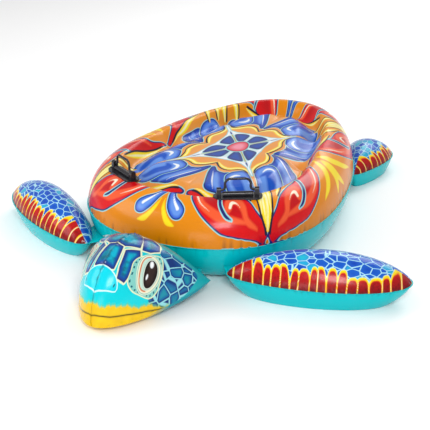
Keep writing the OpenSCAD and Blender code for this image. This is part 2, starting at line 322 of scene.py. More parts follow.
def plain_vinyl(name, ground, shade):
    """Unprinted sheet, a little darker in soft patches."""
    p = Paint(name, ground)
    p.tint(p.noise(3.5, 2.0), 0.35, shade)
    return p.pleated(0.45).finish()


# ---------------- the shell's shape

SHELL_HALF = (0.470, 0.720)
OVAL = 2.2
EGG = -0.22
SEAM_Z = 0.150
RING_TOP = 0.296
VALLEY_Z = 0.238
SEAT_Z = 0.274
CREST_IN = 0.125
VALLEY_IN = 0.186
SEAT_BLEND = 0.110
BASE_DIP = 0.046
BASE_DROP = 0.152
TUFT_DEPTH, TUFT_REACH = 0.014, 0.034
CREASE_DEPTH, CREASE_WIDE = 0.008, 0.014
SWELL_HIGH, SWELL_OFF, SWELL_WIDE = 0.006, 0.055, 0.030
# Tufts, where the inner webs end: angle on the outline in degrees and distance in from it.
TUFTS = [(-2, 0.176), (40, 0.200), (90, 0.215), (140, 0.200),
         (182, 0.176), (223, 0.250), (270, 0.215), (317, 0.250)]


def shell_edge(t):
    """The shell's egg-shaped outline in plan."""
    s = spow(np.sin(t), 2 / OVAL)
    return np.stack([SHELL_HALF[0] * spow(np.cos(t), 2 / OVAL) * (1 + EGG * s), SHELL_HALF[1] * s], -1)


def shell_heights(xy, away):
    """Top height over the plan: a fat ring, a pinched valley and a tufted seat with radial creases."""
    u = np.clip(1 - away / CREST_IN, -1, 1)
    ring = SEAM_Z + (RING_TOP - SEAM_Z) * np.sqrt(np.maximum(0, 1 - u * u))
    slope = ease(RING_TOP, VALLEY_Z, (away - CREST_IN) / (VALLEY_IN - CREST_IN))
    seat = ease(VALLEY_Z, SEAT_Z, (away - VALLEY_IN) / SEAT_BLEND)
    z = np.where(away <= CREST_IN, ring, np.where(away <= VALLEY_IN, slope, seat))
    for turn, inset in TUFTS:
        edge = shell_edge(np.radians(turn))
        tuft = edge * (1 - inset / np.hypot(*edge))
        way = tuft / np.hypot(*tuft)
        out = xy @ way - np.hypot(*tuft)
        side = xy @ np.array([-way[1], way[0]])
        gap = np.hypot(out, side)
        z = z - TUFT_DEPTH * np.exp(-(gap / TUFT_REACH) ** 2)
        fade = np.where(out > 0, np.exp(-(out / 0.045) ** 2), np.exp(-(out / 0.150) ** 2))
        z = z - CREASE_DEPTH * np.exp(-np.abs(side) / CREASE_WIDE) * fade
        z = z + SWELL_HIGH * np.exp(-((np.abs(side) - SWELL_OFF) / SWELL_WIDE) ** 2) * fade
    return z


def base_heights(away):
    """Height of the teal lower sheet: a rounded side, a flat foot and a shallow dip under the valley."""
    u = np.clip(1 - away / CREST_IN, -1, 1)
    ring = np.maximum(0, SEAM_Z - BASE_DROP * np.sqrt(np.maximum(0, 1 - u * u)))
    slope = ease(0, BASE_DIP, (away - CREST_IN) / (VALLEY_IN - CREST_IN))
    seat = ease(BASE_DIP, 0, (away - VALLEY_IN) / SEAT_BLEND)
    return np.where(away <= CREST_IN, ring, np.where(away <= VALLEY_IN, slope, seat))


def shell_sheet(sides, rows, top, gather):
    """Ring grid from the seam to the middle: coordinates, outline angle and share of the way out."""
    t = np.linspace(0, 2 * math.pi, sides, endpoint=False)
    edge = shell_edge(t)
    radius = np.hypot(*edge.T)
    steps = np.linspace(0, 1, rows)
    share = 1 - steps ** 2 * 0.995
    xy = edge[None] * share[:, None, None]
    away = radius[None] * (1 - share[:, None])
    flat = xy.reshape(-1, 2)
    z = shell_heights(flat, away.ravel()) if top else base_heights(away.ravel())
    co = np.concatenate([xy, z.reshape(rows, sides, 1)], -1)
    arc = loop_lengths(edge)
    along = np.broadcast_to(arc[None, :-1], away.shape)
    rise = np.abs(co[..., 2] - SEAM_Z)
    deep = puckers(along, rise + away, arc[-1], *gather)
    deep[0] = 0
    normal = grid_normals(co, True) * (1 if top else -1)
    return co - normal * deep[..., None], t, share, deep


# ---------------- the shell's print

# Outline angles at which the ornament's eight mirror lines meet the seam, against the even ones.
MIRRORS = [-90, -49, -4, 37, 90]
EVEN = [-90, -45, 0, 45, 90]
PRINT_SCALE = 0.560

RED_UNIT = [(0.655, 0.015), (0.705, 0.100), (0.775, 0.135), (0.845, 0.180), (0.895, 0.275), (0.895, 0.400),
            (0.850, 0.510), (0.780, 0.620), (0.712, 0.695), (0.715, 0.600), (0.700, 0.520), (0.705, 0.430),
            (0.720, 0.345), (0.690, 0.260), (0.662, 0.140)]
RED_HOOK = [(0.700, 0.318, 0.4), (0.755, 0.330, 0.9), (0.812, 0.365, 1.0), (0.838, 0.420, 0.8),
            (0.832, 0.470, 0.2)]
RED_CURL = [(0.800, 0.420, 1.0), (0.758, 0.408, 1.1), (0.735, 0.450, 1.0), (0.748, 0.510, 0.8),
            (0.775, 0.565, 0.5), (0.750, 0.635, 0.1)]
RED_SHINE = [(0.792, 0.432, 0.9), (0.764, 0.428, 1.0), (0.752, 0.458, 0.4), (0.760, 0.500, 0.1)]
RED_SWEEP = [(0.690, 0.110, 0.1), (0.775, 0.175, 0.7), (0.850, 0.245, 1.0), (0.862, 0.370, 0.9),
             (0.825, 0.480, 0.5), (0.770, 0.590, 0.1)]
RED_GLINT = [(0.725, 0.118, 0.2), (0.790, 0.170, 1.0), (0.850, 0.235, 0.7), (0.868, 0.320, 0.1)]

BLUE_UNIT = [(0.345, 0.012), (0.395, 0.060), (0.405, 0.120), (0.390, 0.160), (0.440, 0.210), (0.520, 0.260),
             (0.590, 0.290), (0.612, 0.210), (0.618, 0.120), (0.560, 0.085), (0.480, 0.048), (0.410, 0.022)]
BLUE_LOBE = [(0.345, 0.215), (0.330, 0.255), (0.350, 0.305), (0.410, 0.370), (0.480, 0.440), (0.545, 0.440),
             (0.590, 0.360), (0.575, 0.280), (0.510, 0.215), (0.430, 0.165), (0.375, 0.175)]
LOBE_SHADE = [(0.400, 0.305, 0.4), (0.440, 0.270, 1.2), (0.490, 0.300, 1.6), (0.530, 0.370, 1.0),
              (0.520, 0.420, 0.2)]
LOBE_SHINE = [(0.392, 0.262, 0.4), (0.402, 0.222, 1.0), (0.440, 0.208, 1.0), (0.480, 0.225, 0.2)]
BODY_SHINE = [(0.400, 0.040, 0.2), (0.470, 0.078, 0.9), (0.540, 0.118, 1.0), (0.605, 0.165, 0.3)]
BODY_LIGHT = [(0.420, 0.075, 0.3), (0.490, 0.115, 1.0), (0.560, 0.160, 1.0), (0.600, 0.215, 0.4)]

INNER_STROKE = [(0.270, 0.004, 0.3), (0.318, 0.060, 0.9), (0.332, 0.120, 1.0), (0.300, 0.185, 1.0),
                (0.292, 0.250, 0.8), (0.325, 0.300, 0.1)]
CREST_STROKES = [
    [(0.640, 0.050, 0.2), (0.655, 0.170, 1.0), (0.672, 0.270, 1.0), (0.668, 0.380, 0.2)],
    [(0.560, 0.400, 0.2), (0.602, 0.430, 0.9), (0.640, 0.470, 1.0), (0.672, 0.540, 0.2)],
    [(0.520, 0.480, 0.3), (0.560, 0.520, 1.0), (0.610, 0.560, 1.2), (0.690, 0.640, 0.2)],
]
DIAGONAL_STROKE = [(0.555, 0.552, 0.5), (0.620, 0.600, 1.3), (0.672, 0.655, 1.0), (0.700, 0.694, 0.2)]
AXIS_STROKES = [
    [(0.720, 0.030, 0.1), (0.800, 0.052, 0.9), (0.868, 0.075, 1.1), (0.925, 0.140, 0.8), (0.945, 0.235, 0.1)],
    [(0.780, 0.006, 0.1), (0.860, 0.012, 0.9), (0.940, 0.018, 1.0), (0.985, 0.060, 0.1)],
]
DROP = [(0.735, 0.012), (0.800, 0.026), (0.858, 0.058), (0.888, 0.112), (0.915, 0.150), (0.945, 0.140),
        (0.952, 0.095), (0.925, 0.050), (0.870, 0.026), (0.800, 0.008)]
DROP_SHINE = [(0.830, 0.032, 0.2), (0.885, 0.068, 0.7), (0.918, 0.110, 1.0)]
DROP_STROKE = [(0.880, 0.010, 0.2), (0.930, 0.022, 0.9), (0.965, 0.060, 1.0), (0.972, 0.120, 0.1)]

STAR = [(0.215, -0.300), (0.212, 0.080), (0.222, 0.170), (0.252, 0.245), (0.300, 0.292), (0.345, 0.345),
        (-0.300, 0.900), (-0.300, -0.300)]
PETAL = [(0.078, 0.022), (0.150, 0.014), (0.196, 0.030), (0.206, 0.100), (0.192, 0.158), (0.146, 0.128),
         (0.088, 0.070)]
TIP_LEAF = [(0.180, 0.205), (0.205, 0.252), (0.252, 0.266), (0.228, 0.222), (0.195, 0.190)]


def wedge(t, share):
    """Folds the disc eight times: distance along the nearest axis line, and off it towards the diagonal."""
    turn = np.degrees(np.arctan2(np.sin(t), np.abs(np.cos(t))))
    even = np.radians(np.interp(turn, MIRRORS, EVEN))
    p, q = np.abs(share[:, None] * np.sin(even)[None]), np.abs(share[:, None] * np.cos(even)[None])
    front = np.broadcast_to((even < math.radians(-45))[None], p.shape)
    rear = np.broadcast_to((even > math.radians(45))[None], p.shape)
    return np.maximum(p, q).ravel(), np.minimum(p, q).ravel(), front.ravel(), rear.ravel()


def on_surface(values, co):
    """Distances measured in plan, stretched where the sheet is steep so that an outline keeps its width."""
    rows, sides = co.shape[:2]
    field = values.reshape(rows, sides)
    inward = np.gradient(co, axis=0)
    around = (np.roll(co, -1, 1) - np.roll(co, 1, 1)) / 2
    plan = np.maximum(np.hypot(inward[..., 0], inward[..., 1]), 1e-6)
    squash = plan / np.maximum(np.linalg.norm(inward, axis=-1), 1e-6)
    down = np.gradient(field, axis=0) / plan
    across = (np.roll(field, -1, 1) - np.roll(field, 1, 1)) / 2
    across = across / np.maximum(np.linalg.norm(around, axis=-1), 1e-6)
    rate = np.hypot(down * squash, across) / np.maximum(np.hypot(down, across), 1e-9)
    return (field / np.clip(rate, 0.12, 1)).ravel()


def shell_fields(t, share, co, deep):
    """Distances to every motif of the shell's print."""
    p, q, front, rear = wedge(t, share)
    pq = np.stack([p, q], 1)
    k = PRINT_SCALE
    end = front | rear
    star = area(pq, STAR, curved=False)
    reach = np.hypot(p, q)
    yellow = stroke(pq, INNER_STROKE, 0.016)
    for points in CREST_STROKES:
        yellow = np.minimum(yellow, stroke(pq, points, 0.017))
    yellow = np.minimum(yellow, stroke(pq, DIAGONAL_STROKE, 0.024))
    side = np.full(len(p), FAR)
    for points in AXIS_STROKES:
        side = np.minimum(side, stroke(pq, points, 0.022))
    yellow = np.minimum(yellow, np.where(end, FAR, side))
    yellow = np.minimum(yellow, np.where(end, stroke(pq, DROP_STROKE, 0.011), FAR))
    shifted = pq + np.array([-0.010, 0.004])
    shade = stroke(shifted, INNER_STROKE, 0.014)
    for points in CREST_STROKES:
        shade = np.minimum(shade, stroke(shifted, points, 0.014))
    shade = np.minimum(shade, stroke(shifted, DIAGONAL_STROKE, 0.022))
    light = stroke(pq, [(a, b, c * 0.4) for a, b, c in INNER_STROKE], 0.012)
    for points in CREST_STROKES + [DIAGONAL_STROKE]:
        light = np.minimum(light, stroke(pq, [(a, b, c * 0.4) for a, b, c in points], 0.014))
    fields = {
        "red_unit": area(pq, RED_UNIT) * k,
        "red_hook": stroke(pq, RED_HOOK, 0.010) * k,
        "red_curl": np.minimum(stroke(pq, RED_CURL, 0.024), stroke(pq, RED_SWEEP, 0.020)) * k,
        "red_shine": np.minimum(stroke(pq, RED_SHINE, 0.011), stroke(pq, RED_GLINT, 0.0055)) * k,
        "blue_unit": area(pq, BLUE_UNIT) * k,
        "blue_light": stroke(pq, BODY_LIGHT, 0.022) * k,
        "blue_lobe": area(pq, BLUE_LOBE) * k,
        "lobe_shade": stroke(pq, LOBE_SHADE, 0.024) * k,
        "blue_shine": np.minimum(stroke(pq, LOBE_SHINE, 0.011), stroke(pq, BODY_SHINE, 0.0045)) * k,
        "yellow": yellow * k,
        "yellow_shade": shade * k,
        "yellow_light": light * k,
        "star": star * k,
        "petal": area(pq, PETAL) * k,
        "leaf": area(pq, TIP_LEAF) * k,
        "vein": np.where(reach < 0.27, (p - q) * 0.7071, FAR) * k,
        "stone": (reach - 0.078) * k,
        "drop": np.where(end, area(pq, DROP), FAR) * k,
        "drop_shine": np.where(end, stroke(pq, DROP_SHINE, 0.008), FAR) * k,
    }
    fields = {name: on_surface(values, co) for name, values in fields.items()}
    return dict(fields, reach=reach, pleat=deep.ravel())


def shell_print():
    """The ornament, from its ground up to its highlights."""
    p = Paint("shell_print", ORANGE)
    # The crest and the sheet inside it get a painted highlight in peach, and the outer flank is a deeper
    # amber.
    crest_highlight = p.math("MULTIPLY", p.step(p.field("reach"), 0.70, 0.07), p.noise(6.0, 2.0))
    p.tint(crest_highlight, 0.55, PEACH)
    flank = p.math("SUBTRACT", 1.0, p.step(p.field("reach"), 0.955, 0.05))
    p.tint(flank, 0.45, AMBER)
    p.over("red_unit", 9.0 * MM, PALE)
    p.over("red_unit", 5.5 * MM, NAVY)
    p.over("red_unit", 0.8 * MM, RED)
    p.over("red_unit", -34 * MM, srgb(196, 4, 14), 16 * MM)
    p.over("red_curl", 1 * MM, CORAL, 4 * MM)
    p.over("red_shine", 0, CREAM, 1.5 * MM)
    p.over("red_hook", 4 * MM, PALE)
    p.over("red_hook", -0.5 * MM, NAVY)
    p.over("blue_unit", 8.5 * MM, PALE)
    p.over("blue_unit", 5.0 * MM, NAVY)
    p.over("blue_unit", 0, srgb(10, 62, 172))
    p.over("blue_unit", -9 * MM, BLUE, 6 * MM)
    p.over("blue_light", 0, SKY, 7 * MM)
    p.over("blue_lobe", 8.0 * MM, PALE)
    p.over("blue_lobe", 4.5 * MM, NAVY)
    p.over("blue_lobe", 0, srgb(34, 92, 208))
    p.over("blue_lobe", -8 * MM, SKY, 7 * MM)
    p.over("lobe_shade", 0, BLUE, 6 * MM)
    p.over("blue_shine", 0, WHITE, 1.6 * MM)
    p.over("yellow_shade", 2.2 * MM, DARK, 1.2 * MM)
    p.over("yellow", 0, GOLD)
    p.over("yellow", -2.2 * MM, YELLOW, 2 * MM)
    p.over("yellow_light", 0, srgb(255, 250, 190), 2 * MM)
    p.over("star", 6 * MM, PALE)
    p.over("star", 1 * MM, WHITE)
    p.over("star", -14 * MM, srgb(214, 232, 236), 8 * MM)
    p.over("petal", 2.5 * MM, PALE)
    p.over("petal", 0, srgb(46, 52, 122))
    p.over("petal", -11 * MM, srgb(18, 74, 168), 7 * MM)
    p.over("leaf", 2.5 * MM, srgb(190, 214, 236))
    p.over("leaf", 0, srgb(60, 68, 134))
    p.over("vein", 5.5 * MM, srgb(176, 214, 216))
    p.over("vein", 2.6 * MM, srgb(186, 172, 96))
    p.over("stone", 9 * MM, PALE)
    p.over("stone", 4 * MM, srgb(120, 60, 96))
    p.over("stone", 0, srgb(222, 44, 66))
    p.over("stone", -14 * MM, srgb(246, 150, 170), 13 * MM)
    p.over("drop", 6 * MM, PALE)
    p.over("drop", 3.2 * MM, NAVY)
    p.over("drop", 0, srgb(40, 92, 206))
    p.over("drop", -6 * MM, SKY, 5 * MM)
    p.over("drop_shine", 0, WHITE, 1.5 * MM)
    return p.pleated().finish()


def make_shell():
    """Both sheets of the shell and the lip of its seam."""
    gather = (0.034, 0.0032, 0.050, 0.0075)
    co, t, share, deep = shell_sheet(600, 160, True, gather)
    rows, sides = co.shape[:2]
    fields = shell_fields(t, share, co, deep)
    top = mesh_piece("shell_top_skin", co, closed_faces(rows, sides, False), shell_print(), fields)
    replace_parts(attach(top, "shell"), "shell_ring_panel", "shell_seat_panel")
    co, t, share, deep = shell_sheet(480, 100, False, gather)
    rows, sides = co.shape[:2]
    fields = {"pleat": deep.ravel()}
    base = mesh_piece("shell_base_skin", co, closed_faces(rows, sides, True), TEAL_VINYL, fields)
    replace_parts(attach(base, "shell"), "shell_base_panel", "shell_belly_panel")
    weld(shell_edge(np.linspace(0, 2 * math.pi, 480, endpoint=False)), SEAM_Z, "shell_seam_weld", "shell")


def closed_faces(rows, sides, flip):
    """Grid quads plus one cap over the innermost ring."""
    faces = grid_faces(rows, sides, True)
    if flip:
        faces = faces[:, ::-1]
    last = list(range((rows - 1) * sides, rows * sides))
    return [list(f) for f in faces] + [last[::-1] if flip else last]


def weld(outline, height, name, body, width=0.0045, thick=0.0009):
    """The thin welded lip that stands out along a seam."""
    ahead = np.roll(outline, -1, 0) - np.roll(outline, 1, 0)
    out = np.stack([ahead[:, 1], -ahead[:, 0]], 1)
    out /= np.maximum(np.linalg.norm(out, axis=1, keepdims=True), 1e-9)
    wave = 0.0006 * np.sin(np.arange(len(outline)) * 0.9)
    rows = []
    for step, lift in ((-0.6, thick), (1.0, thick), (1.0, -thick), (-0.6, -thick)):
        xy = outline + out * width * step
        rows.append(np.column_stack([xy, height + lift + wave * (step > 0)]))
    faces = grid_faces(len(rows) + 1, len(outline), True) % (len(rows) * len(outline))
    piece = mesh_piece(name, np.array(rows), faces, TEAL_VINYL)
    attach(piece, body)


# ---------------- flippers

PAD_POWER = 0.7
BELLY = 0.150
FRONT = dict(half=(0.320, 0.106), fat=0.18, seam=0.078, crown=0.102)
REAR = dict(half=(0.199, 0.098), fat=0.5, seam=0.067, crown=0.084)
FLIPPERS = {
    "front_left": dict(FRONT, side=1, place=(0.580, -0.58406), turn=20),
    "front_right": dict(FRONT, side=-1, place=(0.560, -0.53798), turn=33),
    "rear_left": dict(REAR, side=1, place=(0.352, 0.60394), turn=95),
    "rear_right": dict(REAR, side=-1, place=(0.352, 0.60394), turn=95),
}
TOOTH_WIDE = 0.033


def pad_plan(f, r, a):
    """A flipper's own plan, from share of the radius and angle."""
    x = f["half"][0] * r * np.cos(a)
    y = f["half"][1] * r * np.sin(a) * (1 + f["fat"] * r * np.cos(a))
    return x, y


def placed(f, x, y):
    """From a left flipper's own plan to the shared frame, mirrored on the right side."""
    u = math.radians(f["turn"])
    wx = f["place"][0] + x * math.cos(u) - y * math.sin(u)
    wy = f["place"][1] + x * math.sin(u) + y * math.cos(u)
    return wx * f["side"], wy


def pad_sheet(f, sides, rows, top):
    """Ring grid of a flipper's sheet from its seam to the middle, with the share of the radius."""
    a = np.linspace(0, 2 * math.pi, sides, endpoint=False)
    r = np.sqrt(np.maximum(0, 1 - np.linspace(0, 1, rows) ** 1.5 * 0.99985))
    grid_r, grid_a = np.meshgrid(r, a, indexing="ij")
    x, y = pad_plan(f, grid_r, grid_a)
    lift = f["crown"] if top else -BELLY
    z = np.maximum(0, f["seam"] + lift * (1 - grid_r ** 2) ** PAD_POWER)
    edge = np.stack(pad_plan(f, np.ones(sides), a), 1)
    arc = loop_lengths(edge)
    along = np.broadcast_to(arc[None, :-1], x.shape)
    away = np.abs(z - f["seam"]) + np.hypot(edge[None, :, 0] - x, edge[None, :, 1] - y)
    deep = puckers(along, away, arc[-1], 0.026, 0.0030, 0.028, 0.0055)
    deep[0] = 0
    local = np.stack([x, y, z], -1)
    normal = grid_normals(local, True) * (1 if top else -1)
    local = local - normal * deep[..., None]
    local[..., 2] = np.maximum(local[..., 2], 0)
    wx, wy = placed(f, local[..., 0], local[..., 1])
    return np.stack([wx, wy, local[..., 2]], -1), local, deep.ravel()


def tooth_field(f, local):
    """The teeth along the leading edge: distances to them and to the lines between, and height."""
    x, z = local[..., 0].ravel(), local[..., 2].ravel()
    leading = local[..., 1].ravel() < 0
    up = z - f["seam"]
    length = 2 * f["half"][0]
    count = round(length / TOOTH_WIDE)
    draw = np.random.default_rng(3)
    ends = np.concatenate([[0.0], np.cumsum(draw.uniform(0.65, 1.3, count))])
    ends = length * (ends / ends[-1] - 0.5)
    tooth = np.full(len(x), FAR)
    gap = np.full(len(x), FAR)
    for low, high in zip(ends[:-1], ends[1:]):
        lean = draw.uniform(-0.10, 0.10)
        mid, half = (low + high) / 2, (high - low) / 2
        short = 0.62 if 0.16 < mid / length < 0.42 else 1.0
        tall = f["crown"] * 0.66 * short * draw.uniform(0.86, 1.10)
        across = np.abs(x - mid - lean * up)
        above = np.maximum(up, 0)
        reach = ((across / half) ** 3.2 + (above / tall) ** 3.2) ** (1 / 3.2)
        tooth = np.minimum(tooth, np.hypot(across, above) * (1 - 1 / np.maximum(reach, 0.02)))
        gap = np.minimum(gap, np.abs(x - high - lean * up))
    return [np.where(leading, values, FAR) for values in (tooth, gap, up)]


def flipper_print():
    """Blue scales with a row of red teeth along the leading edge."""
    p = Paint("flipper_print", BLUE)
    vector = p.vector("pad_place")
    warp = p.node("ShaderNodeTexNoise", Vector=vector, Scale=9.0, Detail=2.0)
    bend = p.node("ShaderNodeVectorMath", Vector=warp.outputs["Color"])
    bend.operation = "SCALE"
    bend.inputs["Scale"].default_value = 0.012
    add = p.node("ShaderNodeVectorMath")
    p.put(add.inputs[0], vector)
    p.put(add.inputs[1], bend.outputs["Vector"])
    where = add.outputs["Vector"]
    cell = p.node("ShaderNodeTexVoronoi", Vector=where, Scale=34.0, Randomness=0.72)
    rim = p.node("ShaderNodeTexVoronoi", Vector=where, Scale=34.0, Randomness=0.72)
    rim.feature = "DISTANCE_TO_EDGE"
    edge = rim.outputs["Distance"]
    pick = p.node("ShaderNodeSeparateColor", Color=cell.outputs["Color"])
    aqua = p.math("GREATER_THAN", pick.outputs["Red"], 0.86)
    p.tint(pick.outputs["Green"], 0.7, srgb(8, 62, 176))
    p.colour = p.mix(aqua, p.colour, srgb(30, 190, 214))
    core = p.math("SUBTRACT", 1.0, p.step(cell.outputs["Distance"], 0.30, 0.22))
    p.tint(core, 0.35, srgb(38, 120, 226))
    p.colour = p.mix(p.step(edge, 0.075, 0.03), p.colour, srgb(20, 100, 205))
    p.colour = p.mix(p.step(edge, 0.046, 0.012), p.colour, srgb(176, 232, 246))
    # The row of red teeth with yellow tips lies over the cells along the leading edge.
    p.over("tooth", 6.0 * MM, srgb(206, 236, 232))
    p.over("tooth", 4.6 * MM, YELLOW)
    p.over("tooth", 0.2 * MM, GOLD, 1.5 * MM)
    p.over("tooth", -2.2 * MM, srgb(232, 70, 14), 1.4 * MM)
    p.over("tooth", -4.4 * MM, srgb(196, 12, 14), 1.6 * MM)
    inside = p.step(p.field("tooth"), -3.5 * MM, 2 * MM)
    low = p.math("MULTIPLY", p.step(p.field("up"), 24 * MM, 22 * MM), inside)
    p.colour = p.mix(low, p.colour, srgb(122, 6, 14))
    speck = p.math("MULTIPLY", p.math("GREATER_THAN", p.noise(120.0, 2.0), 0.58), inside)
    p.tint(speck, 0.4, srgb(84, 2, 12))
    row = p.step(p.field("tooth"), 0.0, 2 * MM)
    p.colour = p.mix(p.math("MULTIPLY", row, p.step(p.field("gap"), 2.4 * MM, 0.8 * MM)), p.colour, GOLD)
    p.colour = p.mix(p.math("MULTIPLY", row, p.step(p.field("gap"), 1.1 * MM, 0.5 * MM)), p.colour, CREAM)
    p.pleated(0.35)
    return p.finish()


def make_flipper(name, f, printed):
    """Both sheets of a flipper and the lip of its seam."""
    big = name.startswith("front")
    sides, rows = (420, 90) if big else (320, 70)
    co, local, deep = pad_sheet(f, sides, rows, True)
    tooth, gap, up = tooth_field(f, local)
    stretch = local.reshape(-1, 3) * np.array([0.8, 1.1, 1.25])
    flip = f["side"] > 0
    fields = {"pad_place": stretch + (0.0 if flip else 3.1), "tooth": tooth, "gap": gap, "up": up,
              "pleat": deep}
    top = mesh_piece(name + "_flipper_top_skin", co, closed_faces(rows, sides, not flip), printed, fields)
    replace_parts(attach(top, name + "_flipper"), name + "_flipper_top")
    co, local, deep = pad_sheet(f, sides, rows, False)
    base = mesh_piece(name + "_flipper_base_skin", co, closed_faces(rows, sides, flip), TEAL_VINYL,
                      {"pleat": deep})
    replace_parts(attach(base, name + "_flipper"), name + "_flipper_base")
    turns = np.linspace(0, 2 * math.pi, sides, endpoint=False)
    edge = np.stack(placed(f, *pad_plan(f, np.ones(sides), turns)), 1)
    weld(edge if flip else edge[::-1], f["seam"], name + "_flipper_seam_weld", name + "_flipper",
         width=0.0035)


# ---------------- head

HEAD_LONG = 0.390
HEAD_HALF = 0.240
HEAD_HIGH = 0.213
HEAD_REAR = -0.745
NOSE_Z = 0.028
NECK_Z = 0.065
GIRTH = 0.170

SCUTES = {
    "front": [(0.465, 104), (0.465, 90), (0.452, 80), (0.330, 74), (0.240, 70), (0.228, 74), (0.235, 90),
              (0.235, 104)],
    "side": [(0.430, 75), (0.530, 64), (0.486, 58), (0.385, 56), (0.292, 48), (0.232, 46), (0.208, 58),
             (0.282, 66)],
    "crown": [(0.478, 104), (0.478, 90), (0.462, 79), (0.548, 66), (0.640, 72), (0.735, 80), (0.770, 90),
              (0.770, 104)],
    "back": [(0.712, 78), (0.790, 73), (0.735, 60), (0.668, 53), (0.585, 56), (0.545, 63)],
}
SNOUT = [(0.232, 104), (0.228, 90), (0.220, 71), (0.200, 56), (0.154, 46), (0.110, 62), (0.088, 78),
         (0.080, 104)]
CELL_PATCH = [(0.748, 54), (0.800, 40), (0.860, 30), (0.880, 16), (0.800, 7), (0.720, 2), (0.538, 0),
              (0.380, 6), (0.378, 18), (0.470, 21), (0.520, 28), (0.575, 36), (0.630, 47), (0.690, 54)]
EYE_PATCH = [(0.575, 52), (0.486, 57), (0.400, 57), (0.330, 51), (0.262, 44), (0.262, 33), (0.300, 25),
             (0.373, 16), (0.445, 18), (0.500, 25), (0.560, 33), (0.630, 46)]
# Heights across the face: where the yellow of the beak ends, and the line of the mouth.
YELLOW_EDGE = [(0, 0.104), (0.020, 0.099), (0.042, 0.094), (0.075, 0.092), (0.100, 0.077), (0.134, 0.064),
               (0.150, 0.053), (0.168, 0.036), (0.25, 0.0)]
MOUTH = [(0, 0.0655), (0.012, 0.0675), (0.036, 0.0640), (0.055, 0.0590), (0.090, 0.0560), (0.134, 0.0465),
         (0.160, 0.0370), (0.25, 0.0)]
EYE_CENTRE = (0.179, 0.111)
EYE_TURN = math.radians(42)
# Rows along the head and columns around it.
CHEEK_GRID = (260, 170)
JAW_GRID = (150, 160)


def head_point(s, a):
    """A point on the head's upper sheets, from share of the length and girth angle."""
    half = HEAD_HALF * s ** 0.55
    rise = HEAD_HIGH * np.sqrt(np.maximum(0, 1 - (2 * s - 1) ** 2))
    seam = NOSE_Z + (NECK_Z - NOSE_Z) * s * s
    return half * np.cos(a), HEAD_REAR - HEAD_LONG * (1 - s), seam + rise * np.sin(a)


def head_steps(rows):
    """Shares of the length, closer together at the nose and at the neck."""
    return 1e-5 + (1 - 2e-5) * (1 - np.cos(np.linspace(0, math.pi, rows))) / 2


def spread(degrees):
    """Flat distance up the sheet from the lower seam, for a girth angle."""
    return degrees / 90 * 3 * GIRTH / 2 * 1.06


def unrolled(points):
    """Scute corners from (share of the length, girth angle) to flat metres on the sheet."""
    return [(s * HEAD_LONG, spread(a)) for s, a in points]


def head_fields(s, a, co, deep):
    """Distances to the scutes, the beak's lines and the parts of the eye."""
    xy = np.stack([s.ravel() * HEAD_LONG, spread(np.degrees(a.ravel()))], 1)
    scutes = np.full(len(xy), FAR)
    for points in SCUTES.values():
        scutes = np.minimum(scutes, area(xy, unrolled(points), curved=False))
    eye = ellipse(xy, EYE_CENTRE, (0.046, 0.0215), EYE_TURN)
    rings = ellipse(xy, (EYE_CENTRE[0] - 0.004, EYE_CENTRE[1] + 0.004), (0.062, 0.036), EYE_TURN)
    v = xy - np.array(EYE_CENTRE)
    c, sn = math.cos(EYE_TURN), math.sin(EYE_TURN)
    across = v[:, 1] * c - v[:, 0] * sn
    along = v[:, 0] * c + v[:, 1] * sn
    turn = np.arctan2(across / 0.045, along / 0.066)
    def glint(u, w, half):
        return ellipse(v, (u * c - w * sn, u * sn + w * c), half, EYE_TURN)

    x, z = np.abs(co[..., 0]).ravel(), co[..., 2].ravel()
    front = np.where(s.ravel() < 0.56, 0.0, FAR)
    wave = 0.0035 * np.sin(x * 150) + 0.0025 * np.sin(x * 410 + 1) + 0.0015 * np.sin(x * 900)
    return {
        "scute": scutes,
        "snout": area(xy, unrolled(SNOUT), steps=3),
        "patch": area(xy, unrolled(CELL_PATCH), steps=3),
        "socket": area(xy, unrolled(EYE_PATCH), steps=3),
        "eye": eye,
        "rings": rings,
        "eye_turn": turn / math.pi,
        "glint": np.minimum(glint(0.030, 0.002, (0.012, 0.006)), glint(-0.014, 0.009, (0.009, 0.003))),
        "crescent": np.maximum(rings + 0.004, -(ellipse(xy, (EYE_CENTRE[0] + 0.008, EYE_CENTRE[1] - 0.004),
                                                        (0.058, 0.031), EYE_TURN))),
        "yellow_edge": z - np.interp(x, *zip(*YELLOW_EDGE)) - wave + front,
        "mouth": np.abs(z - np.interp(x, *zip(*MOUTH))) - 0.0014 + front,
        "nostril": ellipse(xy, (0.166 * HEAD_LONG, spread(54)), (0.005, 0.0032), 0.6),
        "length": s.ravel(),
        "pleat": deep.ravel(),
        "flat": np.column_stack([xy, np.zeros(len(xy))]),
    }


